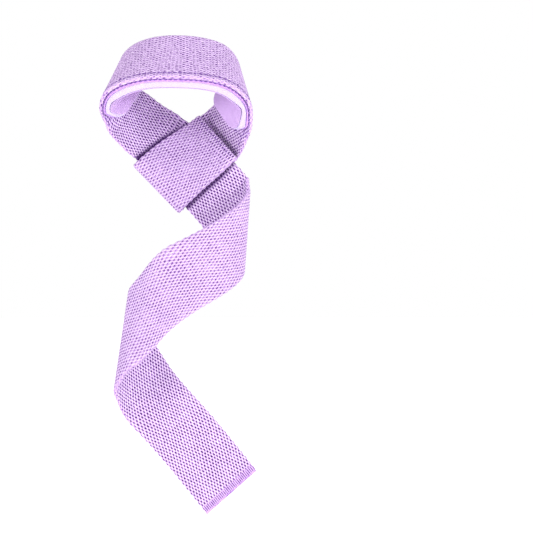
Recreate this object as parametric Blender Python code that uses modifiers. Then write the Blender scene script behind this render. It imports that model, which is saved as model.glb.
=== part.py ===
"""Padded wrist support strap: one woven webbing with a sewn small loop, a padded wrist loop and a hanging tail."""

import math

import bpy
import numpy as np

# Webbing, in metres
STRAP_WIDTH = 0.038
STRAP_THICKNESS = 0.0025
STRAP_EDGE_ROUND = 0.0006
LAYER_CLEARANCE = 0.0008
LAYER_PITCH = STRAP_THICKNESS + LAYER_CLEARANCE

# Overall form: width of the wrist loop, how far it leans out of the crossing's plane, and the fall to the tail
LOOP_WIDTH = 0.088
LOOP_DEPTH = 0.033
HANG_DROP = 0.274

# Wrist pad, from the webbing inwards
PAD_BACKING = 0.0012
PAD_FOAM = 0.004
PAD_LINING = 0.0006
PAD_GAP = 0.0004
PAD_WIDTH = 0.038
PAD_START_TRIM = 0.006
PAD_END_TRIM = 0.009
PAD_NEAR_CORNER = 0.013
PAD_FAR_CORNER = 0.003
PAD_PINCH = 0.45
PAD_PINCH_RUN = 0.009

# Mesh density: longest run, largest turn and largest twist between two stations, and cells across the width
STATION_RUN = 0.010
STATION_TURN = math.radians(12.0)
STATION_TWIST = math.radians(5.0)
PATH_SAMPLES = 6000
STRAP_CELLS = 4
PAD_CELLS = 6

# Sections along the webbing, from the end sewn on at the crossing to the free end.
# across: share of LOOP_WIDTH to the right. drop: share of HANG_DROP below the top band.
# ahead: share of LOOP_DEPTH towards the viewer. layer: share of LAYER_PITCH behind the crossing's middle layer.
# lean: degrees by which the line across the webbing leans from straight down to the right.
# tilt: degrees by which the same line comes towards the viewer.
COLUMNS = ("name", "across", "drop", "ahead", "layer", "lean", "tilt")
SECTIONS = (
    ("sewn_end", 0.274, 0.1577, 0.009, 0.0, 41, 29),
    ("over_edge", 0.23, 0.1702, -0.08, -1.26, 41, 26.5),
    ("over_top", 0.176, 0.185, -0.056, -1.18, 41, 22.6),
    ("over_mid", 0.026, 0.2231, 0.02, -1.13, 41.5, 12),
    ("fold", -0.121, 0.2664, 0.103, 0.0, 44, 2.6),
    ("under_mid", 0.026, 0.2231, 0.02, 1.36, 41.5, 15.2),
    ("under_top", 0.176, 0.185, -0.056, 1.3, 41, 23.4),
    ("right_leg_low", 0.274, 0.1596, -0.09, 1.21, 42, 29.3),
    ("right_leg_mid", 0.339, 0.1351, -0.073, 0.0, 42, 41),
    ("right_leg_high", 0.392, 0.111, 0.109, 0.0, 36, 46),
    ("right_turn_in", 0.435, 0.0879, 0.288, 0.0, 24, 50),
    ("right_turn", 0.449, 0.0674, 0.455, 0.0, 18, 53),
    ("right_turn_out", 0.43, 0.0461, 0.636, 0.0, 14, 51),
    ("band_right", 0.357, 0.0209, 0.818, 0.0, 9, 49),
    ("band_mid_right", 0.204, 0.0045, 0.939, 0.0, 5, 48),
    ("band_top", 0.013, 0.0, 1.0, 0.0, 0, 47.5),
    ("band_mid_left", -0.168, 0.003, 0.939, 0.0, -6, 49),
    ("band_left", -0.32, 0.0187, 0.818, 0.0, -13, 51),
    ("left_turn_in", -0.392, 0.0387, 0.636, 0.0, -20, 52.5),
    ("left_turn", -0.411, 0.0591, 0.455, 0.0, -25, 52),
    ("left_turn_out", -0.392, 0.0776, 0.303, 0.0, -32, 49),
    ("left_leg_high", -0.348, 0.0957, 0.212, 0.0, -37, 44),
    ("left_leg_mid", -0.278, 0.1187, 0.042, 0.0, -46, 37),
    ("left_leg_low", -0.191, 0.1424, -0.079, 0.0, -46.5, 29),
    ("through_in", -0.1, 0.164, -0.134, 0.0, -45, 22.4),
    ("through_mid", 0.068, 0.213, -0.003, 0.0, -43, 11.7),
    ("through_out", 0.225, 0.2609, 0.146, 0.0, -38, -1.2),
    ("tail_start", 0.348, 0.3054, 0.188, 0.0, -25, 0),
    ("right_bend_in", 0.425, 0.3348, 0.227, 0.0, -9, 0),
    ("right_bend", 0.455, 0.3581, 0.455, 0.0, -4, 0),
    ("right_bend_out", 0.414, 0.3812, 0.697, 0.0, -4, 0),
    ("front_run_high", 0.3, 0.4102, 0.909, 0.0, -4, 0),
    ("front_run_mid", 0.134, 0.4426, 1.0, 0.0, -4, 0),
    ("front_run_low", -0.048, 0.4828, 1.0, 0.0, -6, 0),
    ("left_bend_in", -0.228, 0.5378, 0.848, 0.0, -6.5, 0),
    ("left_bend", -0.336, 0.5852, 0.53, 0.0, -8.5, 0),
    ("left_bend_out", -0.311, 0.6236, 0.273, 0.0, -11, 0),
    ("back_run_top", -0.251, 0.6596, 0.115, 0.0, -17.5, 0),
    ("back_run_high", -0.155, 0.7064, -0.018, 0.0, -29, 0),
    ("back_run_mid", 0.02, 0.7699, 0.0, 0.0, -41, 0),
    ("back_run_low", 0.197, 0.8364, 0.061, 0.0, -46, 0),
    ("free_end", 0.366, 0.9024, 0.182, 0.0, -48.6, 0),
)
FOLD_STEPS = (-90, -45, 0, 45, 90)
PATH_POWER = 0.75


def unit(vectors):
    return vectors / np.linalg.norm(vectors, axis=-1, keepdims=True)


def lines_across(lean, tilt):
    """Direction across the webbing from its far edge to its near edge."""
    lean = np.radians(lean)
    tilt = np.radians(tilt)
    parts = (np.sin(lean) * np.cos(tilt), -np.sin(tilt), -np.cos(lean) * np.cos(tilt))
    return np.stack(parts, axis=-1)


def fold_points(centre, lean):
    """Half circle round the edge of the layer that the small loop holds."""
    across = lines_across(lean, 0.0)
    back = np.array((0.0, 1.0, 0.0))
    outward = np.cross(back, across)
    points = []
    for angle in np.radians(FOLD_STEPS):
        points.append(centre + LAYER_PITCH * (outward * (math.cos(angle) - 1.0) + back * math.sin(angle)))
    return points


def control_rows():
    """Section centres with lean and tilt, and the row at which each name starts."""
    points = []
    angles = []
    place = {}
    for values in SECTIONS:
        row = dict(zip(COLUMNS, values))
        depth = row["layer"] * LAYER_PITCH - row["ahead"] * LOOP_DEPTH
        centre = np.array((row["across"] * LOOP_WIDTH, depth, -row["drop"] * HANG_DROP))
        found = fold_points(centre, row["lean"]) if row["name"] == "fold" else [centre]
        place[row["name"]] = len(points)
        for point in found:
            points.append(point)
            angles.append((row["lean"], row["tilt"]))
    return np.array(points), np.array(angles), place


def smooth_curve(knots, values, at):
    """Natural cubic through the values."""
    count = len(knots)
    gaps = np.diff(knots)
    matrix = np.eye(count)
    right = np.zeros_like(values)
    for i in range(1, count - 1):
        matrix[i, i - 1 : i + 2] = (gaps[i - 1], 2.0 * (gaps[i - 1] + gaps[i]), gaps[i])
        right[i] = 6.0 * ((values[i + 1] - values[i]) / gaps[i] - (values[i] - values[i - 1]) / gaps[i - 1])
    bend = np.linalg.solve(matrix, right)
    i = np.clip(np.searchsorted(knots, at, side="right") - 1, 0, count - 2)
    gap = gaps[i][:, None]
    before = (at - knots[i])[:, None]
    after = (knots[i + 1] - at)[:, None]
    curved = (bend[i] * after**3 + bend[i + 1] * before**3) / (6.0 * gap)
    start = (values[i] / gap - bend[i] * gap / 6.0) * after
    end = (values[i + 1] / gap - bend[i + 1] * gap / 6.0) * before
    return curved + start + end


class Ribbon:
    """The webbing's middle surface, as a straight line across it at each length along it."""

    def __init__(self):
        points, angles, place = control_rows()
        chords = np.linalg.norm(np.diff(points, axis=0), axis=1) ** PATH_POWER
        knots = np.concatenate(((0.0,), np.cumsum(chords)))
        at = np.linspace(0.0, knots[-1], PATH_SAMPLES)
        found = smooth_curve(knots, np.hstack((points, angles)), at)
        self.centre = found[:, :3]
        steps = np.linalg.norm(np.diff(self.centre, axis=0), axis=1)
        self.run = np.concatenate(((0.0,), np.cumsum(steps)))
        self.length = self.run[-1]
        self.across = lines_across(found[:, 3], found[:, 4])
        self.along = unit(np.gradient(self.centre, self.run, axis=0))
        square = np.cross(self.along, self.across)
        self.reach = self.across * (0.5 / np.linalg.norm(square, axis=1))[:, None]
        self.spread = np.gradient(self.reach, self.run, axis=0)
        self.row_run = np.interp(knots, at, self.run)
        self.place = place

    def run_at(self, name):
        return self.row_run[self.place[name]]

    def read(self, values, run):
        return np.stack([np.interp(run, self.run, values[:, k]) for k in range(3)], axis=-1)

    def point(self, run, side, width, inward):
        """Point at a length along, a side from -1 at the far edge to 1 at the near one, and a depth inwards."""
        offset = (side * width)[..., None]
        reach = self.read(self.reach, run)
        along = self.read(self.along, run) + self.read(self.spread, run) * offset
        outward = unit(np.cross(along, reach))
        return self.read(self.centre, run) + reach * offset - outward * inward[..., None]

    def stations(self, start, end):
        """Lengths along the webbing that lie closer where it turns or twists."""
        inside = (self.run >= start) & (self.run <= end)
        turn = np.linalg.norm(np.diff(self.along, axis=0), axis=1)
        twist = np.linalg.norm(np.diff(self.across, axis=0), axis=1)
        cost = np.diff(self.run) / STATION_RUN + turn / STATION_TURN + twist / STATION_TWIST
        total = np.concatenate(((0.0,), np.cumsum(cost)))[inside]
        run = self.run[inside]
        count = int(math.ceil(total[-1] - total[0]))
        return np.interp(np.linspace(total[0], total[-1], count + 1), total, run)


def pinch(ribbon, run):
    """Share of its thickness that the pad keeps; it is squeezed in the loop's two side turns."""
    kept = np.ones_like(run)
    for name in ("right_turn", "left_turn"):
        kept -= PAD_PINCH * np.exp(-(((run - ribbon.run_at(name)) / PAD_PINCH_RUN) ** 2))
    return kept


def corner_inset(side):
    """How far the pad's end draws back towards each long edge, as rounded corners."""
    inset = np.zeros_like(side)
    for sign, radius in ((1.0, PAD_NEAR_CORNER), (-1.0, PAD_FAR_CORNER)):
        beyond = np.clip((sign * side * PAD_WIDTH / 2.0 - PAD_WIDTH / 2.0 + radius) / radius, 0.0, 1.0)
        inset += radius * (1.0 - np.sqrt(1.0 - beyond**2 * 0.98))
    return inset


def material(name, colour, roughness):
    made = bpy.data.materials.new(name)
    made.use_nodes = True
    shader = made.node_tree.nodes["Principled BSDF"]
    shader.inputs["Base Color"].default_value = (*colour, 1.0)
    shader.inputs["Roughness"].default_value = roughness
    made.diffuse_color = (*colour, 1.0)
    return made


def grid_object(name, collection, rows, columns):
    """Grid whose vertices know their station and their place across."""
    bpy.ops.mesh.primitive_grid_add(x_subdivisions=rows, y_subdivisions=columns, size=2.0)
    made = bpy.context.active_object
    made.name = name
    made.data.name = name
    for owner in list(made.users_collection):
        owner.objects.unlink(made)
    collection.objects.link(made)
    count = len(made.data.vertices)
    flat = np.empty(count * 3)
    made.data.vertices.foreach_get("co", flat)
    flat = flat.reshape(count, 3)
    return made, (flat[:, 0] + 1.0) / 2.0, flat[:, 1]


def place_vertices(made, points):
    made.data.vertices.foreach_set("co", points.ravel())
    made.data.update()


def thicken(made, thickness, kept=None):
    """Solidify about the middle surface; kept scales the thickness at each vertex."""
    solid = made.modifiers.new("thickness", "SOLIDIFY")
    solid.thickness = thickness
    solid.offset = 0.0
    solid.use_even_offset = True
    solid.use_quality_normals = True
    if kept is not None:
        group = made.vertex_groups.new(name="kept")
        for index, weight in enumerate(kept):
            group.add([index], float(weight), "REPLACE")
        solid.vertex_group = group.name


def round_edges(made, width, segments):
    bevel = made.modifiers.new("rounded edges", "BEVEL")
    bevel.width = width
    bevel.segments = segments
    bevel.limit_method = "ANGLE"
    bevel.angle_limit = math.radians(50.0)


def build_strap(ribbon, origin, collection):
    stations = ribbon.stations(0.0, ribbon.length)
    made, share, side = grid_object("strap", collection, len(stations) - 1, STRAP_CELLS)
    run = stations[np.rint(share * (len(stations) - 1)).astype(int)]
    place_vertices(made, ribbon.point(run, side, STRAP_WIDTH, np.zeros_like(run)) - origin)
    thicken(made, STRAP_THICKNESS)
    round_edges(made, STRAP_EDGE_ROUND, 1)
    return made


def pad_range(ribbon):
    start = ribbon.run_at("right_leg_mid") + PAD_START_TRIM
    end = ribbon.run_at("left_leg_mid") - PAD_END_TRIM
    return start, end


def pad_depths():
    """Middle depth of each pad layer, as its solid part and its gap part."""
    layers = []
    solid = 0.0
    gap = STRAP_THICKNESS / 2.0
    for name, thickness in (("pad_backing", PAD_BACKING), ("pad_foam", PAD_FOAM), ("pad_lining", PAD_LINING)):
        gap += PAD_GAP
        layers.append((name, thickness, solid + thickness / 2.0, gap))
        solid += thickness
    return layers, solid, gap


def build_pad_layer(ribbon, origin, collection, name, thickness, solid, gap):
    start, end = pad_range(ribbon)
    stations = ribbon.stations(start, end)
    made, share, side = grid_object(name, collection, len(stations) - 1, PAD_CELLS)
    middle = stations[np.rint(share * (len(stations) - 1)).astype(int)]
    inset = corner_inset(side)
    squeezed = (end - start - 2.0 * inset) / (end - start)
    run = start + inset + (middle - start) * squeezed
    kept = pinch(ribbon, run)
    place_vertices(made, ribbon.point(run, side, PAD_WIDTH, solid * kept + gap) - origin)
    thicken(made, thickness, kept)
    return made


def seat_point(ribbon):
    """Inside top of the padded loop, on the lining."""
    layers, solid, gap = pad_depths()
    run = np.array((ribbon.run_at("band_top"),))
    depth = solid * pinch(ribbon, run) + gap
    return ribbon.point(run, np.zeros(1), PAD_WIDTH, depth)[0]


def main():
    for old in list(bpy.data.objects):
        bpy.data.objects.remove(old, do_unlink=True)
    collection = bpy.data.collections.new("wrist_support_strap")
    bpy.context.scene.collection.children.link(collection)
    finishes = {
        "strap": material("lilac_webbing", (0.60, 0.44, 0.84), 0.85),
        "pad_backing": material("lilac_backing", (0.55, 0.38, 0.80), 0.7),
        "pad_foam": material("pale_foam", (0.90, 0.84, 0.97), 0.8),
        "pad_lining": material("lilac_lining", (0.60, 0.43, 0.83), 0.75),
    }
    ribbon = Ribbon()
    origin = seat_point(ribbon)
    build_strap(ribbon, origin, collection)
    layers, solid, gap = pad_depths()
    for name, thickness, middle, gaps in layers:
        build_pad_layer(ribbon, origin, collection, name, thickness, middle, gaps)
    for made in collection.objects:
        made.data.materials.clear()
        made.data.materials.append(finishes[made.name])


main()
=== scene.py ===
"""Dressed padded wrist support strap: webbing, a sewn small loop, a padded wrist loop and a bound tail."""

import math

import bpy
import numpy as np
from mathutils import Matrix, Vector
from mathutils.kdtree import KDTree


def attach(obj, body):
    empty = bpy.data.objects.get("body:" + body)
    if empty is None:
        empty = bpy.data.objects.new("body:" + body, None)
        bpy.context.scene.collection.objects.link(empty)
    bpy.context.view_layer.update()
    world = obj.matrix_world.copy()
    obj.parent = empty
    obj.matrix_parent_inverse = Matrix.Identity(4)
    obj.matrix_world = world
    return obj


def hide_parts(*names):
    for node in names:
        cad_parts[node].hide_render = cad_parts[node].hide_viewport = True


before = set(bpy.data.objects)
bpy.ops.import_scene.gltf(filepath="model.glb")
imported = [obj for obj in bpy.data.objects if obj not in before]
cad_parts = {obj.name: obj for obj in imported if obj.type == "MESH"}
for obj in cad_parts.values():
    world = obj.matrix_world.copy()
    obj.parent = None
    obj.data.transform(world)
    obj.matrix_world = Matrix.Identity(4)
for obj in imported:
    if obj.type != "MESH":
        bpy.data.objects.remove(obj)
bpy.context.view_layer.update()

# Webbing, in metres
STRAP_WIDTH = 0.038
STRAP_THICKNESS = 0.0025
SELVEDGE_ROUND = 0.0011
SELVEDGE_RIPPLE = 0.0002
LAYER_CLEARANCE = 0.0008
LAYER_PITCH = STRAP_THICKNESS + LAYER_CLEARANCE
WARP_PITCH = 0.0009
WEFT_PITCH = 0.00185
SELVEDGE_FLAT = (0.0002, 0.0009)
HEM_LENGTH = 0.0052
HEM_SEALED = 0.0011
HEM_THINNING = 0.12
HEM_RIB_PITCH = 0.00115

# Overall form
LOOP_WIDTH = 0.088
LOOP_DEPTH = 0.033
HANG_DROP = 0.274

# Wrist pad, from the webbing inwards
PAD_BACKING = 0.0012
PAD_FOAM = 0.004
PAD_LINING = 0.0006
PAD_GAP = 0.0004
PAD_WIDTH = 0.038
PAD_START_TRIM = 0.006
PAD_END_TRIM = 0.009
PAD_NEAR_CORNER = 0.013
PAD_FAR_CORNER = 0.003
PAD_START_FAR_CORNER = 0.010
PAD_CORNER_SWEEP = 0.98
PAD_PINCH = 0.45
PAD_PINCH_RUN = 0.009
PAD_FADE = 0.004
LAYER_TOUCH = 0.0001
BACKING_EDGE = 0.0005
FOAM_EDGE = 0.0009
LINING_EDGE = 0.00025
LINING_INSET = 0.0009

# Sewing
THREAD = 0.0005
STITCH_LENGTH = 0.0019
STITCH_STEP = 0.0027
EDGE_ROW_INSET = 0.0034
SEAM_LENGTH = 0.008
SEAM_ROW_SHARE = 0.3
CROSS_ROW_INSET = 0.003
LEG_ROW_START = 0.002
LEG_ROW_OVERLAP = 0.006
STITCH_GROOVE = 0.00025
STITCH_GROOVE_WIDTH = 0.0011
STITCH_SINK = 0.6

# Painted contact shade: the search step, its reach, and the run past which a layer counts as another one
TUCK_STEP = 0.001
TUCK_PLACES = 39
TUCK_REACH = 0.0042
TUCK_OTHER_LAYER = 0.012

# Mesh density
PATH_SAMPLES = 6000
FACE_COLUMNS = 20
WEBBING_CORNER_STEPS = 3
WEBBING_ROW = 0.00046
WEBBING_END_ROUND = 0.0008
PAD_CORNER_STEPS = 4
PAD_ROW = 0.0012
END_ROWS = 5
MERGE_DISTANCE = 0.000002

# Finish of the webbing. Scales are features per metre across and along.
DRIFT_SCALE = (90.0, 60.0)
LOOSE_SCALE = (380.0, 300.0)
LOT_SCALE = (520.0, 420.0)
FIBRE_SCALE = (3200.0, 1300.0)
YARN_WANDER = 0.0006
YARN_JUMBLE = 0.0013
BAND_JUMBLE = 0.6
WANDER_ALONG = 1.4
WEAVE_BUMP = 0.0005

# Heights are shares of the weave's depth, and pairs are where a smooth step starts and ends.
FLOAT_SLANT = 0.1
FLOAT_BASE = 0.12
FLOAT_BODY = 0.35
FLOAT_CROWN = 0.5
SLIT_OVER = (0.45, 0.08)
SLIT_BODY = (0.4, 0.9)
SLIT_DEPTH = 0.5
WEFT_HEIGHT = 0.05
HEM_RIB_HEIGHT = 0.55
HEM_RIB_DEPTH = 0.06
SEALED_HEIGHT = 0.28
SELVEDGE_SHARE = 0.4
LOT_SHARE = 0.5
FIBRE_SHARE = 0.18
FIBRE_RELIEF = 0.15
DRIFT_SHARE = 0.3
SEAM_SHARE = 0.9
HOLE_SHADE_SHARE = 0.85
# painted shade and painted contact shadow where one webbing layer lies against another
SHADE_REACH = (0.0, 0.5)
SHADE_SHARE = 0.75
CONTACT_SHADOW_REACH = (0.24, 0.42)
CONTACT_SHADOW_SHARE = 0.7
CLOTH_GLOSS = 0.12
SHEEN_ROUGHNESS = 0.4

# Tones over the weave's height, from slit to crown: height, red, green and blue as displayed. The dark slit
# tones are painted shade and the pale crown tones painted highlight over the yarn's lilac.
OUTER_TONES = (
    (0.0, 98, 58, 128),
    (0.12, 160, 121, 186),
    (0.26, 188, 157, 207),
    (0.7, 196, 168, 212),
    (1.0, 209, 187, 221),
)
INNER_TONES = (
    (0.0, 66, 22, 98),
    (0.16, 124, 76, 158),
    (0.31, 188, 154, 208),
    (0.75, 204, 177, 219),
    (1.0, 224, 206, 234),
)
HOLE_SHADE_TONE = (104, 62, 148)
# tones of the painted shade and the painted contact shadow
SHADE_TONE = (112, 72, 140)
CONTACT_SHADOW_TONE = (70, 26, 104)

# Finish of the pad and the thread. Base and dark tones as displayed.
BACKING_TONES = ((200, 156, 230), (168, 122, 204))
LINING_TONES = ((199, 170, 216), (183, 152, 203))
FOAM_TONES = ((196, 182, 218), (187, 170, 209))
THREAD_TONES = ((134, 92, 176), (76, 40, 118))
KNIT_RIB = 0.0006
KNIT_LOOP = 0.0008
KNIT_MOTTLE_SCALE = (260.0, 260.0)
FOAM_CELL_SCALE = 2600.0
FOAM_MOTTLE_SCALE = 420.0
FOAM_BUMP = 0.00006
THREAD_TWIST_SCALE = 1400.0
FINE_BUMP = 0.00008

# Sections along the webbing, from the end sewn on at the crossing to the free end.
# across: share of LOOP_WIDTH to the right. drop: share of HANG_DROP below the top band.
# ahead: share of LOOP_DEPTH towards the viewer.
# layer: share of LAYER_PITCH behind the crossing's middle layer.
# lean: degrees by which the line across the webbing leans from straight down to the right.
# tilt: degrees by which the same line comes towards the viewer.
COLUMNS = ("name", "across", "drop", "ahead", "layer", "lean", "tilt")
SECTIONS = (
    ("sewn_end", 0.274, 0.1577, 0.009, 0.0, 41, 29),
    ("over_edge", 0.23, 0.1702, -0.08, -1.26, 41, 26.5),
    ("over_top", 0.176, 0.185, -0.056, -1.18, 41, 22.6),
    ("over_mid", 0.026, 0.2231, 0.02, -1.13, 41.5, 12),
    ("fold", -0.121, 0.2664, 0.103, 0.0, 44, 2.6),
    ("under_mid", 0.026, 0.2231, 0.02, 1.36, 41.5, 15.2),
    ("under_top", 0.176, 0.185, -0.056, 1.3, 41, 23.4),
    ("right_leg_low", 0.274, 0.1596, -0.09, 1.21, 42, 29.3),
    ("right_leg_mid", 0.339, 0.1351, -0.073, 0.0, 42, 41),
    ("right_leg_high", 0.392, 0.111, 0.109, 0.0, 36, 46),
    ("right_turn_in", 0.435, 0.0879, 0.288, 0.0, 24, 50),
    ("right_turn", 0.449, 0.0674, 0.455, 0.0, 18, 53),
    ("right_turn_out", 0.43, 0.0461, 0.636, 0.0, 14, 51),
    ("band_right", 0.357, 0.0209, 0.818, 0.0, 9, 49),
    ("band_mid_right", 0.204, 0.0045, 0.939, 0.0, 5, 48),
    ("band_top", 0.013, 0.0, 1.0, 0.0, 0, 47.5),
    ("band_mid_left", -0.168, 0.003, 0.939, 0.0, -6, 49),
    ("band_left", -0.32, 0.0187, 0.818, 0.0, -13, 51),
    ("left_turn_in", -0.392, 0.0387, 0.636, 0.0, -20, 52.5),
    ("left_turn", -0.411, 0.0591, 0.455, 0.0, -25, 52),
    ("left_turn_out", -0.392, 0.0776, 0.303, 0.0, -32, 49),
    ("left_leg_high", -0.348, 0.0957, 0.212, 0.0, -37, 44),
    ("left_leg_mid", -0.278, 0.1187, 0.042, 0.0, -46, 37),
    ("left_leg_low", -0.191, 0.1424, -0.079, 0.0, -46.5, 29),
    ("through_in", -0.1, 0.164, -0.134, 0.0, -45, 22.4),
    ("through_mid", 0.068, 0.213, -0.003, 0.0, -43, 11.7),
    ("through_out", 0.225, 0.2609, 0.146, 0.0, -38, -1.2),
    ("tail_start", 0.348, 0.3054, 0.188, 0.0, -25, 0),
    ("right_bend_in", 0.425, 0.3348, 0.227, 0.0, -9, 0),
    ("right_bend", 0.455, 0.3581, 0.455, 0.0, -4, 0),
    ("right_bend_out", 0.414, 0.3812, 0.697, 0.0, -4, 0),
    ("front_run_high", 0.3, 0.4102, 0.909, 0.0, -4, 0),
    ("front_run_mid", 0.134, 0.4426, 1.0, 0.0, -4, 0),
    ("front_run_low", -0.048, 0.4828, 1.0, 0.0, -6, 0),
    ("left_bend_in", -0.228, 0.5378, 0.848, 0.0, -6.5, 0),
    ("left_bend", -0.336, 0.5852, 0.53, 0.0, -8.5, 0),
    ("left_bend_out", -0.311, 0.6236, 0.273, 0.0, -11, 0),
    ("back_run_top", -0.251, 0.6596, 0.115, 0.0, -17.5, 0),
    ("back_run_high", -0.155, 0.7064, -0.018, 0.0, -29, 0),
    ("back_run_mid", 0.02, 0.7699, 0.0, 0.0, -41, 0),
    ("back_run_low", 0.197, 0.8364, 0.061, 0.0, -46, 0),
    ("free_end", 0.366, 0.9024, 0.182, 0.0, -48.6, 0),
)
FOLD_STEPS = (-90, -45, 0, 45, 90)
PATH_POWER = 0.75


# The strap's course


def unit(vectors):
    return vectors / np.linalg.norm(vectors, axis=-1, keepdims=True)


def lines_across(lean, tilt):
    """Direction across the webbing from its far edge to its near edge."""
    lean = np.radians(lean)
    tilt = np.radians(tilt)
    parts = (np.sin(lean) * np.cos(tilt), -np.sin(tilt), -np.cos(lean) * np.cos(tilt))
    return np.stack(parts, axis=-1)


def fold_points(centre, lean):
    """Half circle round the edge of the layer that the small loop holds."""
    across = lines_across(lean, 0.0)
    back = np.array((0.0, 1.0, 0.0))
    outward = np.cross(back, across)
    points = []
    for angle in np.radians(FOLD_STEPS):
        points.append(centre + LAYER_PITCH * (outward * (math.cos(angle) - 1.0) + back * math.sin(angle)))
    return points


def control_rows():
    """Section centres with lean and tilt, and the row at which each name starts."""
    points = []
    angles = []
    place = {}
    for values in SECTIONS:
        row = dict(zip(COLUMNS, values))
        depth = row["layer"] * LAYER_PITCH - row["ahead"] * LOOP_DEPTH
        centre = np.array((row["across"] * LOOP_WIDTH, depth, -row["drop"] * HANG_DROP))
        found = fold_points(centre, row["lean"]) if row["name"] == "fold" else [centre]
        place[row["name"]] = len(points)
        for point in found:
            points.append(point)
            angles.append((row["lean"], row["tilt"]))
    return np.array(points), np.array(angles), place


def smooth_curve(knots, values, at):
    """Natural cubic through the values."""
    count = len(knots)
    gaps = np.diff(knots)
    matrix = np.eye(count)
    right = np.zeros_like(values)
    for i in range(1, count - 1):
        matrix[i, i - 1 : i + 2] = (gaps[i - 1], 2.0 * (gaps[i - 1] + gaps[i]), gaps[i])
        right[i] = 6.0 * ((values[i + 1] - values[i]) / gaps[i] - (values[i] - values[i - 1]) / gaps[i - 1])
    bend = np.linalg.solve(matrix, right)
    i = np.clip(np.searchsorted(knots, at, side="right") - 1, 0, count - 2)
    gap = gaps[i][:, None]
    before = (at - knots[i])[:, None]
    after = (knots[i + 1] - at)[:, None]
    curved = (bend[i] * after**3 + bend[i + 1] * before**3) / (6.0 * gap)
    start = values[i] / gap - bend[i] * gap / 6.0
    end = values[i + 1] / gap - bend[i + 1] * gap / 6.0
    return curved + start * after + end * before


class Ribbon:
    """The webbing's middle surface, as a straight line across it at each length along it."""

    def __init__(self):
        points, angles, place = control_rows()
        chords = np.linalg.norm(np.diff(points, axis=0), axis=1) ** PATH_POWER
        knots = np.concatenate(((0.0,), np.cumsum(chords)))
        at = np.linspace(0.0, knots[-1], PATH_SAMPLES)
        found = smooth_curve(knots, np.hstack((points, angles)), at)
        self.centre = found[:, :3]
        steps = np.linalg.norm(np.diff(self.centre, axis=0), axis=1)
        self.run = np.concatenate(((0.0,), np.cumsum(steps)))
        self.length = self.run[-1]
        self.across = lines_across(found[:, 3], found[:, 4])
        self.along = unit(np.gradient(self.centre, self.run, axis=0))
        square = np.cross(self.along, self.across)
        self.reach = self.across * (0.5 / np.linalg.norm(square, axis=1))[:, None]
        self.spread = np.gradient(self.reach, self.run, axis=0)
        self.row_run = np.interp(knots, at, self.run)
        self.place = place

    def run_at(self, name):
        return self.row_run[self.place[name]]

    def read(self, values, run):
        return np.stack([np.interp(run, self.run, values[:, k]) for k in range(3)], axis=-1)

    def axes(self, run, side, width):
        """Point on the middle surface, and the directions along, across and out of the outer face."""
        offset = (side * width)[..., None]
        reach = self.read(self.reach, run)
        along = unit(self.read(self.along, run) + self.read(self.spread, run) * offset)
        outward = unit(np.cross(along, reach))
        return self.read(self.centre, run) + reach * offset, along, np.cross(outward, along), outward

    def point(self, run, side, width, inward):
        """Point at a run, a side from -1 at the far edge to 1 at the near one, and a depth inwards."""
        middle, _, _, outward = self.axes(run, side, width)
        return middle - outward * inward[..., None]

    def flat(self, run, side, width):
        """Length along the webbing as it lies flat, for points off its centre line."""
        slant = np.sum(self.read(self.reach, run) * self.read(self.along, run), axis=-1)
        return run + side * width * slant


def pad_range(ribbon):
    start = ribbon.run_at("right_leg_mid") + PAD_START_TRIM
    end = ribbon.run_at("left_leg_mid") - PAD_END_TRIM
    return start, end


def pinch(ribbon, run):
    """Share of its thickness that the pad keeps; it is squeezed in the loop's two side turns."""
    kept = np.ones_like(run)
    for name in ("right_turn", "left_turn"):
        kept = kept - PAD_PINCH * np.exp(-(((run - ribbon.run_at(name)) / PAD_PINCH_RUN) ** 2))
    return kept


def corner_inset(side, far_corner):
    """How far the pad's end draws back towards each long edge, as rounded corners."""
    inset = np.zeros_like(side)
    for sign, radius in ((1.0, PAD_NEAR_CORNER), (-1.0, far_corner)):
        beyond = np.clip((sign * side * PAD_WIDTH / 2.0 - PAD_WIDTH / 2.0 + radius) / radius, 0.0, 1.0)
        inset = inset + radius * (1.0 - np.sqrt(1.0 - beyond**2 * PAD_CORNER_SWEEP))
    return inset


# Modelling


def deselect():
    if bpy.context.object and bpy.context.object.mode != "OBJECT":
        bpy.ops.object.mode_set(mode="OBJECT")
    bpy.ops.object.select_all(action="DESELECT")


def activate(piece):
    deselect()
    piece.select_set(True)
    bpy.context.view_layer.objects.active = piece


def section_round(width, thickness, edge, places, corner):
    """Closed section of a flat band with rounded long edges: side, level and distance round it."""
    half = width / 2.0
    turn = np.linspace(0.0, math.pi / 2.0, corner + 1)
    rim_side = (half - edge + edge * np.cos(turn)) / half
    rim_level = np.sin(turn)
    top = np.asarray(places) * (1.0 - edge / half)
    flat = np.ones_like(top)
    side = np.concatenate((-rim_side, top, rim_side[::-1], rim_side[1:], -top, -rim_side[::-1]))
    level = np.concatenate((rim_level, flat, rim_level[::-1], -rim_level[1:], -flat, -rim_level[::-1]))
    steps = np.hypot(np.diff(side) * half, np.diff(level) * thickness / 2.0)
    around = np.concatenate(((0.0,), np.cumsum(steps)))
    return side, level, around


def even_places(columns):
    """Places across a band's face between its rounded edges, from -1 to 1."""
    return np.linspace(-1.0, 1.0, columns + 1)[1:-1]


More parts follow.
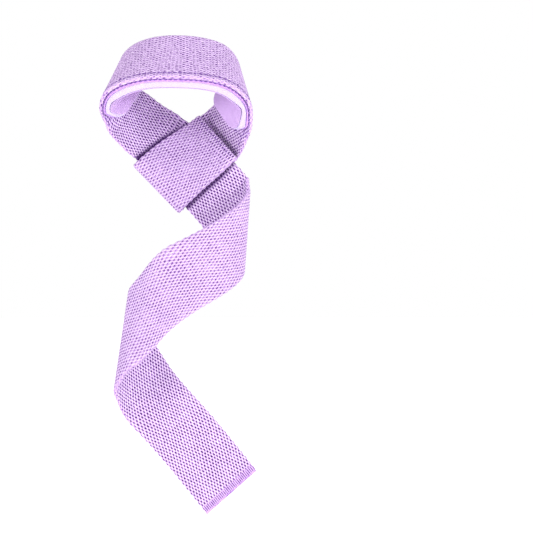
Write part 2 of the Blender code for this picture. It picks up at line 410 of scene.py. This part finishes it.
def band_piece(name, rows, section, place):
    """Closed band made from a grid that is wrapped round a section and laid along the strap.

    place(share, side, level) gives each vertex its point, its length along the flat cloth,
    and the values that its finish reads.
    """
    side_list, level_list, around_list = section
    deselect()
    bpy.ops.mesh.primitive_grid_add(x_subdivisions=rows, y_subdivisions=len(side_list) - 1, size=2.0)
    made = bpy.context.active_object
    made.name = name
    made.data.name = name
    count = len(made.data.vertices)
    flat = np.empty(count * 3)
    made.data.vertices.foreach_get("co", flat)
    flat = flat.reshape(count, 3)
    share = (flat[:, 0] + 1.0) / 2.0
    ring = np.rint((flat[:, 1] + 1.0) / 2.0 * (len(side_list) - 1)).astype(int)
    side, level, around = side_list[ring], level_list[ring], around_list[ring]
    points, along, marks = place(share, side, level)
    made.data.vertices.foreach_set("co", points.ravel())
    corners = np.empty(len(made.data.loops), dtype=int)
    made.data.loops.foreach_get("vertex_index", corners)
    layer = made.data.uv_layers.active
    layer.name = "cloth"
    layer.data.foreach_set("uv", np.stack((around[corners], along[corners]), axis=-1).ravel())
    for label, values in marks.items():
        mark = made.data.attributes.new(label, "FLOAT", "POINT")
        mark.data.foreach_set("value", values.astype(np.float32))
    made.data.update()
    activate(made)
    bpy.ops.object.mode_set(mode="EDIT")
    bpy.ops.mesh.select_all(action="SELECT")
    bpy.ops.mesh.remove_doubles(threshold=MERGE_DISTANCE)
    bpy.ops.mesh.normals_make_consistent(inside=False)
    bpy.ops.object.mode_set(mode="OBJECT")
    bpy.ops.object.shade_smooth()
    return made


def end_round(distance, radius):
    """Share of the thickness left at a distance from an end that is rounded over."""
    inside = np.clip(distance / radius, 0.0, 1.0)
    return np.sqrt(np.clip(1.0 - (1.0 - inside) ** 2, 0.0, 1.0))


def spaced_rows(length, step, ends):
    """Rows at an even step, with closer ones where both ends are rounded over."""
    close = ends * (1.0 - np.cos(np.linspace(0.0, math.pi / 2.0, END_ROWS)))
    middle = np.linspace(ends, length - ends, int(round((length - 2.0 * ends) / step)) + 1)
    return np.concatenate((close[:-1], middle, (length - close)[::-1][1:]))


def fade(value, low, high):
    """Smooth step from 0 at low to 1 at high."""
    t = np.clip((value - low) / (high - low), 0.0, 1.0)
    return t * t * (3.0 - 2.0 * t)


def on_band(ribbon, run):
    """1 where the webbing carries the pad, 0 on the crossing and the tail."""
    start, end = pad_range(ribbon)
    begun = fade(run, start - PAD_FADE, start + PAD_FADE)
    return begun * (1.0 - fade(run, end - PAD_FADE, end + PAD_FADE))


def course_tree(ribbon):
    """Points spread over the webbing's middle surface, and the run of each."""
    along = np.arange(0.0, ribbon.length, TUCK_STEP)
    runs, sides = np.meshgrid(along, np.linspace(-1.0, 1.0, TUCK_PLACES), indexing="ij")
    runs, sides = runs.ravel(), sides.ravel()
    points = ribbon.point(runs, sides, STRAP_WIDTH, np.zeros_like(runs))
    tree = KDTree(len(points))
    for index, point in enumerate(points):
        tree.insert(point, index)
    tree.balance()
    return tree, runs


def tuck_shade_share(ribbon, points, run):
    """Mask of the painted shade: 1 where another layer of the webbing lies close against a point, 0 in the
    open.
    """
    tree, runs = course_tree(ribbon)
    share = np.zeros(len(points))
    for place, point in enumerate(points):
        for _, index, distance in tree.find_range(point, TUCK_REACH):
            if abs(runs[index] - run[place]) > TUCK_OTHER_LAYER:
                share[place] = max(share[place], 1.0 - distance / TUCK_REACH)
    return share


def build_webbing(ribbon, origin):
    """The whole webbing, with scalloped selvedges, a groove under the edge stitches and a thin bound end."""
    row_place = 1.0 - EDGE_ROW_INSET / (STRAP_WIDTH / 2.0)
    groove = STITCH_GROOVE_WIDTH / (STRAP_WIDTH / 2.0)
    row_places = row_place + groove * np.array((-1.0, 0.0, 1.0))
    places = np.sort(np.concatenate((even_places(FACE_COLUMNS), row_places, -row_places)))
    section = section_round(STRAP_WIDTH, STRAP_THICKNESS, SELVEDGE_ROUND, places, WEBBING_CORNER_STEPS)
    rows = spaced_rows(ribbon.length, WEBBING_ROW, WEBBING_END_ROUND)

    def place(share, side, level):
        run = rows[np.rint(share * (len(rows) - 1)).astype(int)]
        along = ribbon.flat(run, side, STRAP_WIDTH)
        band = on_band(ribbon, run)
        ripple = SELVEDGE_RIPPLE * np.cos(math.pi * along / WEFT_PITCH)
        rim = fade(np.abs(side), 0.94, 1.0)
        widened = STRAP_WIDTH + 2.0 * ripple * rim
        to_end = np.minimum(run, ribbon.length - run)
        ends = end_round(to_end, WEBBING_END_ROUND)
        hem = 1.0 - fade(ribbon.length - run, HEM_SEALED, HEM_LENGTH)
        beside_row = (side - row_place) / groove
        sunk = STITCH_GROOVE * np.exp(-(beside_row**2)) * band * (level > 0.5)
        thick = (STRAP_THICKNESS / 2.0 * (1.0 - HEM_THINNING * hem) * level - sunk) * ends
        middle, _, _, outward = ribbon.axes(run, side, widened)
        points = middle + outward * thick[..., None] - origin
        marks = {
            # mask of the painted shade where layers lie against each other
            "tuck_shade": tuck_shade_share(ribbon, points + origin, run),
            "from_edge": STRAP_WIDTH / 2.0 * (1.0 - np.abs(side)),
            "outer": level,
            "on_band": band,
            "run": run,
            "to_free_end": ribbon.length - run,
            "beside_row": beside_row,
        }
        return points, along, marks

    return band_piece("webbing", len(rows) - 1, section, place)


def build_pad_layer(ribbon, origin, name, thickness, solid, gap, edge, inset_all):
    """One layer of the wrist pad, its middle at a solid depth that can be pinched plus a gap that can't."""
    start, end = pad_range(ribbon)
    width = PAD_WIDTH - 2.0 * inset_all
    length = end - start - 2.0 * inset_all
    section = section_round(width, thickness, edge, even_places(FACE_COLUMNS), PAD_CORNER_STEPS)
    rows = spaced_rows(length, PAD_ROW, edge) / length

    def place(share, side, level):
        middle = rows[np.rint(share * (len(rows) - 1)).astype(int)]
        start_inset = corner_inset(side, PAD_START_FAR_CORNER) + inset_all
        span = end - start - start_inset - corner_inset(side, PAD_FAR_CORNER) - inset_all
        run = start + start_inset + middle * span
        kept = pinch(ribbon, run)
        left = np.minimum(end_round(middle * span, edge), end_round((1.0 - middle) * span, edge))
        depth = solid * kept + gap - level * left * thickness / 2.0 * kept
        points = ribbon.point(run, side, width, depth) - origin
        return points, ribbon.flat(run, side, width), {}

    return band_piece(name, len(rows) - 1, section, place)


# Sewing


def stitch_model(length, thickness):
    """One stitch of thread, lying along X, its top standing out along Z."""
    deselect()
    bpy.ops.mesh.primitive_uv_sphere_add(segments=8, ring_count=6, radius=0.5)
    made = bpy.context.active_object
    bpy.ops.object.mode_set(mode="EDIT")
    bpy.ops.mesh.select_all(action="SELECT")
    bpy.ops.transform.resize(value=(length, thickness, thickness))
    bpy.ops.object.mode_set(mode="OBJECT")
    bpy.ops.object.shade_smooth()
    return made


def stitch_row(name, ribbon, origin, model, places):
    """Copies of one stitch, each laid at its own run, side, lift and turn, joined into one piece."""
    copies = []
    for run, side, lift, turn in places:
        one = np.array((run,))
        middle, along, across, outward = ribbon.axes(one, np.array((side,)), STRAP_WIDTH)
        spot = Vector(middle[0] + outward[0] * lift - origin)
        ahead, aside, up = Vector(along[0]), Vector(across[0]), Vector(outward[0])
        forward = ahead * math.cos(turn) + aside * math.sin(turn)
        sideways = up.cross(forward)
        facing = Matrix((forward, sideways, up)).transposed().to_4x4()
        facing.translation = spot
        copy = bpy.data.objects.new(name, model.data.copy())
        bpy.context.scene.collection.objects.link(copy)
        copy.data.transform(facing)
        copies.append(copy)
    deselect()
    for copy in copies:
        copy.select_set(True)
    bpy.context.view_layer.objects.active = copies[0]
    bpy.ops.object.join()
    made = bpy.context.active_object
    made.name = name
    made.data.name = name
    return made


# Materials


def wire(tree, source, target):
    tree.links.new(source, target)


class Sums:
    """Short way to write sums of node sockets and plain numbers."""

    def __init__(self, tree):
        self.tree = tree

    def fill(self, socket, value):
        """Gives a socket a number, a colour or a wire from another socket."""
        if isinstance(value, (int, float)):
            socket.default_value = value
        elif isinstance(value, tuple):
            socket.default_value = (*value, 1.0)
        else:
            wire(self.tree, value, socket)

    def math(self, operation, *values):
        node = self.tree.nodes.new("ShaderNodeMath")
        node.operation = operation
        for socket, value in zip(node.inputs, values):
            self.fill(socket, value)
        return node.outputs[0]

    def add(self, a, b):
        return self.math("ADD", a, b)

    def sub(self, a, b):
        return self.math("SUBTRACT", a, b)

    def mul(self, a, b):
        return self.math("MULTIPLY", a, b)

    def cos_half_turns(self, a):
        return self.math("COSINE", self.mul(a, math.pi))

    def smooth(self, value, low, high):
        """Smooth step from 0 at low to 1 at high."""
        node = self.tree.nodes.new("ShaderNodeMapRange")
        node.interpolation_type = "SMOOTHSTEP"
        for label, given in (("Value", value), ("From Min", low), ("From Max", high)):
            self.fill(node.inputs[label], given)
        return node.outputs["Result"]

    def noise(self, vector, scale, detail=2.0, rough=0.5):
        node = self.tree.nodes.new("ShaderNodeTexNoise")
        node.inputs["Scale"].default_value = scale
        node.inputs["Detail"].default_value = detail
        node.inputs["Roughness"].default_value = rough
        wire(self.tree, vector, node.inputs["Vector"])
        return node.outputs["Fac"]

    def cloth_noise(self, across, along, scale, detail=2.0, rough=0.5):
        """Noise over the flat cloth, with its own scale across and along."""
        spread = self.vector(self.mul(across, scale[0]), self.mul(along, scale[1]))
        return self.noise(spread, 1.0, detail, rough)

    def ribs(self, place, pitch):
        """Rounded ribs at a pitch, 0 between them and 1 on their crowns."""
        return self.math("ABSOLUTE", self.cos_half_turns(self.mul(place, 1.0 / pitch)))

    def around_zero(self, value, size):
        """A noise from 0 to 1 moved to lie about 0, at a size."""
        return self.mul(self.sub(value, 0.5), size)

    def mix_value(self, factor, a, b):
        """a where the factor is 0 and b where it is 1."""
        return self.add(self.mul(a, self.sub(1.0, factor)), self.mul(b, factor))

    def vector(self, x, y):
        node = self.tree.nodes.new("ShaderNodeCombineXYZ")
        self.fill(node.inputs["X"], x)
        self.fill(node.inputs["Y"], y)
        return node.outputs[0]

    def ramp(self, value, stops):
        """Colour over a value, from rows that give a place and a shade in display values."""
        node = self.tree.nodes.new("ShaderNodeValToRGB")
        ramp = node.color_ramp
        while len(ramp.elements) < len(stops):
            ramp.elements.new(0.5)
        for element, (place, *shade) in zip(ramp.elements, stops):
            element.position = place
            element.color = (*tone(*shade), 1.0)
        wire(self.tree, value, node.inputs["Fac"])
        return node.outputs["Color"]

    def mix(self, factor, a, b, blend="MIX"):
        node = self.tree.nodes.new("ShaderNodeMix")
        node.data_type = "RGBA"
        node.blend_type = blend
        for place, value in zip((0, 6, 7), (factor, a, b)):
            self.fill(node.inputs[place], value)
        return node.outputs[2]


def tone(red, green, blue):
    """Linear colour of a shade given in display values from 0 to 255."""
    found = []
    for value in (red, green, blue):
        value /= 255.0
        found.append(value / 12.92 if value <= 0.04045 else ((value + 0.055) / 1.055) ** 2.4)
    return tuple(found)


def group_tree(name, inputs, outputs):
    """Empty group of value sockets, with the nodes that stand for what it is given and what it puts out."""
    tree = bpy.data.node_groups.new(name, "ShaderNodeTree")
    for label, value in inputs:
        socket = tree.interface.new_socket(name=label, in_out="INPUT", socket_type="NodeSocketFloat")
        socket.default_value = value
    for label in outputs:
        tree.interface.new_socket(name=label, in_out="OUTPUT", socket_type="NodeSocketFloat")
    return tree, tree.nodes.new("NodeGroupInput"), tree.nodes.new("NodeGroupOutput")


def weave_group():
    """Plain weave with narrow warp yarns that float along the webbing over each second thick weft."""
    tree, given, out = group_tree(
        "webbing_weave",
        (
            ("Across", 0.0),
            ("Along", 0.0),
            ("Warp Pitch", WARP_PITCH),
            ("Weft Pitch", WEFT_PITCH),
            ("Slant", FLOAT_SLANT),
            ("Weft", WEFT_HEIGHT),
        ),
        ("Height",),
    )
    s = Sums(tree)
    x = s.math("DIVIDE", given.outputs["Across"], given.outputs["Warp Pitch"])
    y = s.math("DIVIDE", given.outputs["Along"], given.outputs["Weft Pitch"])
    # every second warp yarn floats half a turn later than its neighbours
    column = s.math("ROUND", x)
    phase = s.math("WRAP", s.add(y, column), 1.0, -1.0)
    off = s.add(s.sub(x, column), s.mul(phase, given.outputs["Slant"]))
    body = s.math("POWER", s.math("MAXIMUM", s.cos_half_turns(off), 0.0), 0.5)
    over = s.add(s.mul(s.cos_half_turns(phase), 0.5), 0.5)
    # the slit where a yarn dives under the weft
    slit = s.mul(s.smooth(over, *SLIT_OVER), s.smooth(body, *SLIT_BODY))
    crown = s.add(s.mul(body, FLOAT_BODY), s.mul(over, FLOAT_CROWN))
    floated = s.add(s.sub(crown, s.mul(slit, SLIT_DEPTH)), FLOAT_BASE)
    weft_body = s.math("ABSOLUTE", s.cos_half_turns(s.add(y, 0.5)))
    weft = s.mul(s.sub(1.0, weft_body), given.outputs["Weft"])
    wire(tree, s.math("MAXIMUM", floated, weft), out.inputs["Height"])
    return tree


def start_material(name, roughness, sheen, sheen_tint):
    """Matte cloth-like material, its nodes and its main shader."""
    made = bpy.data.materials.new(name)
    made.use_nodes = True
    tree = made.node_tree
    shader = tree.nodes["Principled BSDF"]
    shader.inputs["Roughness"].default_value = roughness
    shader.inputs["Specular IOR Level"].default_value = CLOTH_GLOSS
    shader.inputs["Sheen Weight"].default_value = sheen
    shader.inputs["Sheen Roughness"].default_value = SHEEN_ROUGHNESS
    shader.inputs["Sheen Tint"].default_value = (*sheen_tint, 1.0)
    return made, tree, shader


def attribute(tree, name):
    node = tree.nodes.new("ShaderNodeAttribute")
    node.attribute_name = name
    return node.outputs["Fac"]


def cloth_place(tree):
    """Distance across and along the flat cloth, in metres."""
    node = tree.nodes.new("ShaderNodeUVMap")
    node.uv_map = "cloth"
    split = tree.nodes.new("ShaderNodeSeparateXYZ")
    wire(tree, node.outputs["UV"], split.inputs[0])
    return split.outputs["X"], split.outputs["Y"]


def object_place(tree):
    return tree.nodes.new("ShaderNodeTexCoord").outputs["Object"]


def bump(tree, shader, height, distance):
    node = tree.nodes.new("ShaderNodeBump")
    node.inputs["Distance"].default_value = distance
    wire(tree, height, node.inputs["Height"])
    wire(tree, node.outputs["Normal"], shader.inputs["Normal"])


def webbing_height(s, tree, weave, across, along, drift):
    """Relief of the webbing: its weave, the bound end's ribs and the flatter selvedges."""
    band = attribute(tree, "on_band")
    loose = s.cloth_noise(across, along, LOOSE_SCALE)
    wander = s.around_zero(drift, YARN_WANDER)
    jumble = s.mul(s.around_zero(loose, YARN_JUMBLE), s.add(s.mul(band, BAND_JUMBLE), 1.0 - BAND_JUMBLE))
    stray = s.add(wander, jumble)
    node = tree.nodes.new("ShaderNodeGroup")
    node.node_tree = weave
    wire(tree, s.add(across, stray), node.inputs["Across"])
    wire(tree, s.add(along, s.mul(stray, WANDER_ALONG)), node.inputs["Along"])
    to_free_end = attribute(tree, "to_free_end")
    hem = s.smooth(to_free_end, HEM_LENGTH, HEM_LENGTH * 0.7)
    sealed = s.smooth(to_free_end, HEM_SEALED * 1.3, HEM_SEALED * 0.7)
    rib = s.sub(s.mul(s.ribs(across, HEM_RIB_PITCH), HEM_RIB_HEIGHT), HEM_RIB_DEPTH)
    height = s.mix_value(hem, node.outputs["Height"], rib)
    height = s.mix_value(sealed, height, SEALED_HEIGHT)
    selvedge = s.smooth(attribute(tree, "from_edge"), SELVEDGE_FLAT[1], SELVEDGE_FLAT[0])
    return s.mix_value(s.mul(selvedge, SELVEDGE_SHARE), height, 0.5)


def webbing_material(weave):
    made, tree, shader = start_material("lilac_webbing", 0.9, 0.04, (0.9, 0.8, 1.0))
    s = Sums(tree)
    across, along = cloth_place(tree)
    drift = s.cloth_noise(across, along, DRIFT_SCALE)
    fibre = s.cloth_noise(across, along, FIBRE_SCALE, 3.0, 0.6)
    lot = s.cloth_noise(across, along, LOT_SCALE)
    height = webbing_height(s, tree, weave, across, along, drift)
    band = attribute(tree, "on_band")
    run = attribute(tree, "run")
    # the weave's height, whose tones below carry painted shade and painted highlight, and each yarn takes the
    # dye a little differently
    shown = s.add(height, s.mul(s.sub(lot, 0.5), s.add(s.mul(band, LOT_SHARE), LOT_SHARE)))
    shown = s.add(shown, s.around_zero(fibre, FIBRE_SHARE))
    shown = s.add(shown, s.around_zero(drift, DRIFT_SHARE))
    # the inner face is more open than the outer one, and the webbing within about 8 mm of the sewn end takes
    # the inner face's darker slit tones too
    inner = s.smooth(attribute(tree, "outer"), 0.5, -0.5)
    seam = s.smooth(run, SEAM_LENGTH, SEAM_LENGTH * 0.4)
    inner_toned = s.math("MAXIMUM", inner, s.mul(seam, SEAM_SHARE))
    # tones by height: painted shade in the slits and painted highlight on the crowns, over the random dye
    # tone
    colour = s.mix(inner_toned, s.ramp(shown, OUTER_TONES), s.ramp(shown, INNER_TONES))
    # painted shade in the holes of the stitch rows
    hole = s.cos_half_turns(s.mul(run, 2.0 / STITCH_STEP))
    beside = s.smooth(s.math("ABSOLUTE", attribute(tree, "beside_row")), 0.75, 0.25)
    hole = s.mul(s.mul(s.smooth(hole, -0.1, 0.5), beside), band)
    colour = s.mix(s.mul(hole, HOLE_SHADE_SHARE), colour, tone(*HOLE_SHADE_TONE))
    # painted shade where one layer comes out from under another: a soft painted shade and a dark painted
    # contact shadow line at its edge
    tuck_shade = attribute(tree, "tuck_shade")
    shaded = s.mix(1.0, colour, tone(*SHADE_TONE), "MULTIPLY")
    colour = s.mix(s.mul(s.smooth(tuck_shade, *SHADE_REACH), SHADE_SHARE), colour, shaded)
    colour = s.mix(s.mul(s.smooth(tuck_shade, *CONTACT_SHADOW_REACH), CONTACT_SHADOW_SHARE), colour, tone(*CONTACT_SHADOW_TONE))
    wire(tree, colour, shader.inputs["Base Color"])
    relief = s.add(s.sub(height, s.mul(hole, 0.5)), s.around_zero(fibre, FIBRE_RELIEF))
    bump(tree, shader, relief, WEAVE_BUMP)
    return made


def knit_material(name, tones, sheen):
    """Smooth fine-gauge knit with a faint rib."""
    made, tree, shader = start_material(name, 0.7, sheen, (0.95, 0.9, 1.0))
    s = Sums(tree)
    across, along = cloth_place(tree)
    rib = s.ribs(across, KNIT_RIB)
    loop = s.math("ABSOLUTE", s.cos_half_turns(s.add(s.mul(along, 1.0 / KNIT_LOOP), rib)))
    mottle = s.cloth_noise(across, along, KNIT_MOTTLE_SCALE, 3.0)
    height = s.add(s.mul(rib, 0.5), s.mul(loop, 0.5))
    # darker in the knit's valleys as painted shade, mixed with random mottle
    valley_shade_and_mottle = s.smooth(s.add(s.mul(height, 0.45), s.mul(mottle, 0.55)), 0.2, 0.75)
    wire(tree, s.mix(valley_shade_and_mottle, tone(*tones[1]), tone(*tones[0])), shader.inputs["Base Color"])
    bump(tree, shader, height, FINE_BUMP)
    return made


def foam_material():
    """Pale foam with fine closed cells."""
    made, tree, shader = start_material("pale_foam", 0.75, 0.1, (1.0, 1.0, 1.0))
    s = Sums(tree)
    place = object_place(tree)
    cells = tree.nodes.new("ShaderNodeTexVoronoi")
    cells.inputs["Scale"].default_value = FOAM_CELL_SCALE
    wire(tree, place, cells.inputs["Vector"])
    mottle = s.noise(place, FOAM_MOTTLE_SCALE, 3.0)
    pore = s.smooth(cells.outputs["Distance"], 0.05, 0.5)
    # darker in the cell pores as painted shade, mixed with random mottle
    light = s.smooth(s.add(s.mul(pore, 0.3), s.mul(mottle, 0.7)), 0.2, 0.7)
    wire(tree, s.mix(light, tone(*FOAM_TONES[1]), tone(*FOAM_TONES[0])), shader.inputs["Base Color"])
    bump(tree, shader, s.add(pore, mottle), FOAM_BUMP)
    return made


def thread_material():
    """Sewing thread with a diagonal twist."""
    made, tree, shader = start_material("sewing_thread", 0.6, 0.2, (0.95, 0.9, 1.0))
    s = Sums(tree)
    twist = tree.nodes.new("ShaderNodeTexWave")
    twist.inputs["Scale"].default_value = THREAD_TWIST_SCALE
    twist.inputs["Distortion"].default_value = 0.6
    twist.bands_direction = "DIAGONAL"
    wire(tree, object_place(tree), twist.inputs["Vector"])
    # darker in the grooves of the twist as painted shade
    strand = s.smooth(twist.outputs["Fac"], 0.1, 0.7)
    wire(tree, s.mix(strand, tone(*THREAD_TONES[1]), tone(*THREAD_TONES[0])), shader.inputs["Base Color"])
    bump(tree, shader, twist.outputs["Fac"], FINE_BUMP)
    return made


def finish_piece(piece, made):
    piece.data.materials.clear()
    piece.data.materials.append(made)
    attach(piece, "root")


# The strap's pieces

ribbon = Ribbon()


def pad_layers():
    """Each pad layer's thickness, and its middle depth as a solid part and a gap part."""
    layers = []
    solid = 0.0
    gap = STRAP_THICKNESS / 2.0
    thicknesses = (("pad_backing", PAD_BACKING), ("pad_foam", PAD_FOAM), ("pad_lining", PAD_LINING))
    for name, thickness in thicknesses:
        gap += PAD_GAP
        layers.append((name, thickness, solid + thickness / 2.0, gap))
        solid += thickness
    return layers, solid, gap


layers, pad_solid, pad_gap = pad_layers()
top_run = np.array((ribbon.run_at("band_top"),))
origin = ribbon.point(top_run, np.zeros(1), PAD_WIDTH, pad_solid * pinch(ribbon, top_run) + pad_gap)[0]

webbing = build_webbing(ribbon, origin)
weave = weave_group()
finish_piece(webbing, webbing_material(weave))
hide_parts("strap")

backing = knit_material("lilac_backing", BACKING_TONES, 0.1)
lining = knit_material("lilac_lining", LINING_TONES, 0.08)
pad_finishes = {
    "pad_backing": (backing, "backing", BACKING_EDGE, 0.0),
    "pad_foam": (foam_material(), "foam", FOAM_EDGE, 0.0),
    "pad_lining": (lining, "lining", LINING_EDGE, LINING_INSET),
}
pad_length = pad_range(ribbon)[1] - pad_range(ribbon)[0]
for name, thickness, solid, gap in layers:
    made, slot, edge, inset = pad_finishes[name]
    shown = thickness if name == "pad_lining" else thickness + PAD_GAP - LAYER_TOUCH
    piece = build_pad_layer(ribbon, origin, "wrist_" + name, shown, solid, gap, edge, inset)
    finish_piece(piece, made)
    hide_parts(name)

# Stitch rows along the near edge of the padded band and its rim, down the right leg, and across the sewn ends
thread = thread_material()
stitch = stitch_model(STITCH_LENGTH, THREAD)
near = 1.0 - EDGE_ROW_INSET / (STRAP_WIDTH / 2.0)
surface = STRAP_THICKNESS / 2.0
pad_start, pad_end = pad_range(ribbon)
band_runs = np.arange(ribbon.run_at("right_leg_low"), pad_end, STITCH_STEP)
leg_start = ribbon.run_at("right_leg_low") + LEG_ROW_START
leg_runs = np.arange(leg_start, pad_start + LEG_ROW_OVERLAP, STITCH_STEP)
across_sides = np.arange(-near, near, STITCH_STEP / (STRAP_WIDTH / 2.0))
seam_run = SEAM_LENGTH * SEAM_ROW_SHARE
cross_run = pad_start - CROSS_ROW_INSET
rows = {
    "pad_edge_stitches": [(run, near, surface - STITCH_GROOVE * STITCH_SINK, 0.0) for run in band_runs],
    "rim_stitches": [(run, 1.0, -surface - PAD_GAP / 2.0, 0.0) for run in band_runs if run > pad_start],
    "leg_edge_stitches": [(run, near, -surface, 0.0) for run in leg_runs],
    "seam_stitches": [(seam_run, side, surface, math.pi / 2.0) for side in across_sides],
    "leg_cross_stitches": [(cross_run, side, -surface, math.pi / 2.0) for side in across_sides],
}
for name, places in rows.items():
    finish_piece(stitch_row(name, ribbon, origin, stitch, places), thread)
bpy.data.objects.remove(stitch)

# Stage, light and camera

FLOOR_DROP = 0.32
FLOOR_RADIUS = 9.0
FLOOR_SIDES = 96
FLOOR_COLOUR = (0.93, 0.92, 0.94, 1.0)
FLOOR_GLOW = 0.6
WHITE = (1.0, 1.0, 1.0, 1.0)
SKY_STRENGTH = 0.69
BACKDROP_STRENGTH = 1.0
CAMERA_AT = (0.0509, -1.473, -0.1118)
LENS = 176.3
SENSOR_WIDTH = 36.0
CENTRE = (0.0, 0.0, -0.1)
LIGHT_COLUMNS = ("name", "place", "size", "power")
LIGHTS = (
    ("front_left_softbox", (-1.4, -1.2, 0.15), 0.5, 15.0),
    ("front_right_softbox", (1.6, -1.0, 0.1), 0.8, 18.0),
    ("overhead_softbox", (0.2, -1.1, 1.5), 0.9, 14.0),
    ("rear_softbox", (0.3, 1.8, 1.2), 1.2, 12.0),
)


def pale_floor():
    """Wide pale floor far below the hanging strap."""
    deselect()
    place = (0.0, 0.0, -FLOOR_DROP)
    size = {"vertices": FLOOR_SIDES, "radius": FLOOR_RADIUS}
    bpy.ops.mesh.primitive_circle_add(**size, fill_type="NGON", location=place)
    made = bpy.context.active_object
    made.name = "pale_floor"
    paint = bpy.data.materials.new("pale_floor_paint")
    paint.use_nodes = True
    shader = paint.node_tree.nodes["Principled BSDF"]
    shader.inputs["Base Color"].default_value = FLOOR_COLOUR
    shader.inputs["Roughness"].default_value = 0.9
    shader.inputs["Emission Color"].default_value = WHITE
    shader.inputs["Emission Strength"].default_value = FLOOR_GLOW
    made.data.materials.append(paint)
    return made


def soft_studio():
    """World that lights the strap softly and shows the camera a white backdrop."""
    world = bpy.data.worlds.new("soft_studio")
    world.use_nodes = True
    tree = world.node_tree
    sky = tree.nodes["Background"]
    backdrop = tree.nodes.new("ShaderNodeBackground")
    for shader, strength in ((sky, SKY_STRENGTH), (backdrop, BACKDROP_STRENGTH)):
        shader.inputs["Color"].default_value = WHITE
        shader.inputs["Strength"].default_value = strength
    seen = tree.nodes.new("ShaderNodeLightPath")
    blend = tree.nodes.new("ShaderNodeMixShader")
    wire(tree, seen.outputs["Is Camera Ray"], blend.inputs[0])
    wire(tree, sky.outputs[0], blend.inputs[1])
    wire(tree, backdrop.outputs[0], blend.inputs[2])
    wire(tree, blend.outputs[0], tree.nodes["World Output"].inputs["Surface"])
    return world


def soft_light(name, place, size, power):
    """Round softbox that faces the middle of the strap."""
    data = bpy.data.lights.new(name, "AREA")
    data.shape = "DISK"
    data.size = size
    data.energy = power
    made = bpy.data.objects.new(name, data)
    bpy.context.scene.collection.objects.link(made)
    made.location = place
    made.rotation_euler = (Vector(CENTRE) - Vector(place)).to_track_quat("-Z", "Y").to_euler()


def photo_camera():
    """Long lens that looks level at the strap, as in the photograph."""
    data = bpy.data.cameras.new("photo_camera")
    data.lens = LENS
    data.sensor_width = SENSOR_WIDTH
    data.clip_start = 0.05
    data.clip_end = 60.0
    made = bpy.data.objects.new("photo_camera", data)
    bpy.context.scene.collection.objects.link(made)
    made.location = CAMERA_AT
    made.rotation_euler = (math.pi / 2.0, 0.0, 0.0)
    return made


pale_floor()
bpy.context.scene.world = soft_studio()
for values in LIGHTS:
    soft_light(**dict(zip(LIGHT_COLUMNS, values)))
bpy.context.scene.camera = photo_camera()
bpy.context.scene.view_settings.view_transform = "Standard"
